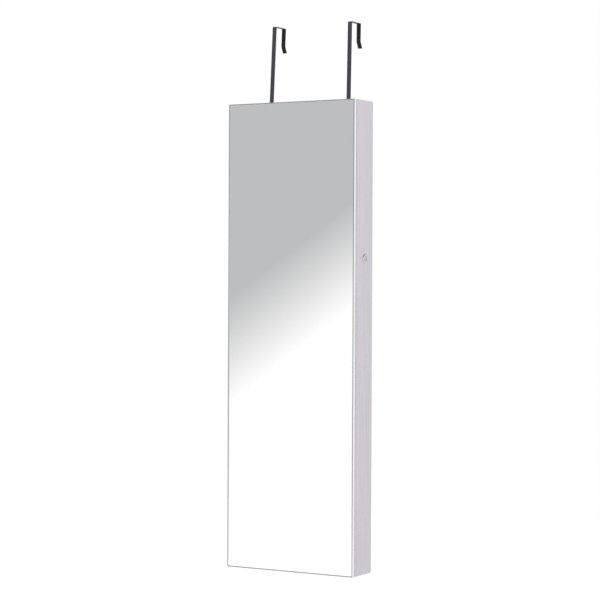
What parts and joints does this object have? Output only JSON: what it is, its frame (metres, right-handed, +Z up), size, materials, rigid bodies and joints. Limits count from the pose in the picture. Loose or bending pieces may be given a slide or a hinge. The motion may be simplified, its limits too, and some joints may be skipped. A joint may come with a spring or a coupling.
{
  "type": "jewelry mirror cabinet",
  "caption": "Tall over-door jewelry cabinet whose front is a full-length mirror door with a side lock, ring rolls, earring sheet, necklace pegs and shelves.",
  "frame": {"origin": "middle of the cabinet's footprint, on its underside", "axes": "+X to the right seen from the front, +Y to the back, +Z up"},
  "size_m": [0.3775, 0.1573, 1.4091],
  "materials": {
    "whitewashed_foil_board": "printed wood-grain foil on fibreboard, pale grey",
    "mirror_glass": "silvered float glass",
    "satin_aluminium": "satin anodised",
    "black_powder_steel": "black powder coat on flat steel",
    "zinc_plated_steel": "zinc plated",
    "nickel_plated_zinc": "nickel plated die casting",
    "velvet": "short pile velvet over foam",
    "felt": "needle felt",
    "black_nylon": "moulded",
    "ferrite": "sintered ferrite",
    "beech": "plain turned dowel",
    "white_sheet": "satin white sheet"
  },
  "bodies": {
    "cabinet": {"left_side": "whitewashed_foil_board", "right_side": "whitewashed_foil_board", "top_board": "whitewashed_foil_board", "bottom_board": "whitewashed_foil_board", "back_board": "whitewashed_foil_board", "hanging_rail": "whitewashed_foil_board", "carcass_dowels": "beech", "ring_shelf": "whitewashed_foil_board", "earring_shelf": "whitewashed_foil_board", "upper_shelf": "whitewashed_foil_board", "middle_shelf": "whitewashed_foil_board", "lower_shelf": "whitewashed_foil_board", "shelf_pins": "zinc_plated_steel", "shelf_lips": "whitewashed_foil_board", "shelf_mats": "felt", "back_lining": "felt", "ring_board": "whitewashed_foil_board", "ring_rolls": "velvet", "earring_cleats": "whitewashed_foil_board", "earring_panel": "white_sheet", "necklace_rail": "whitewashed_foil_board", "necklace_pegs": "nickel_plated_zinc", "bracelet_rod": "nickel_plated_zinc", "rod_sockets": "nickel_plated_zinc", "hinge_top_cabinet_leaf": "zinc_plated_steel", "hinge_top_pin": "zinc_plated_steel", "hinge_middle_cabinet_leaf": "zinc_plated_steel", "hinge_middle_pin": "zinc_plated_steel", "hinge_bottom_cabinet_leaf": "zinc_plated_steel", "hinge_bottom_pin": "zinc_plated_steel", "hook_left": "black_powder_steel", "hook_left_screws": "black_powder_steel", "hook_right": "black_powder_steel", "hook_right_screws": "black_powder_steel", "lock_housing": "nickel_plated_zinc", "lock_nut": "zinc_plated_steel", "catch_housing": "black_nylon", "catch_magnet": "ferrite", "catch_poles": "zinc_plated_steel", "hinge_cabinet_screws": "zinc_plated_steel", "catch_screws": "zinc_plated_steel"},
    "door": {"door_board": "whitewashed_foil_board", "mirror_glass": "mirror_glass", "trim_left": "satin_aluminium", "trim_right": "satin_aluminium", "trim_top": "satin_aluminium", "trim_bottom": "satin_aluminium", "door_lining": "felt", "door_bumpers": "felt", "hinge_top_door_leaf": "zinc_plated_steel", "hinge_middle_door_leaf": "zinc_plated_steel", "hinge_bottom_door_leaf": "zinc_plated_steel", "lock_keeper": "zinc_plated_steel", "strike_plate": "zinc_plated_steel", "hinge_door_screws": "zinc_plated_steel", "door_fitting_screws": "zinc_plated_steel"},
    "lock": {"lock_plug": "nickel_plated_zinc", "lock_cam": "zinc_plated_steel", "lock_cam_screw": "zinc_plated_steel"}
  },
  "joints": [
    {"name": "door_hinge", "type": "hinge", "parent": "cabinet", "child": "door", "pos_m": [-0.1877, -0.03725, 0.6], "axis": [0, 0, -1], "range_deg": [0, 180]},
    {"name": "lock_turn", "type": "hinge", "parent": "cabinet", "child": "lock", "pos_m": [0.185, 0.007, 0.8], "axis": [-1, 0, 0], "range_deg": [0, 90]}
  ]
}
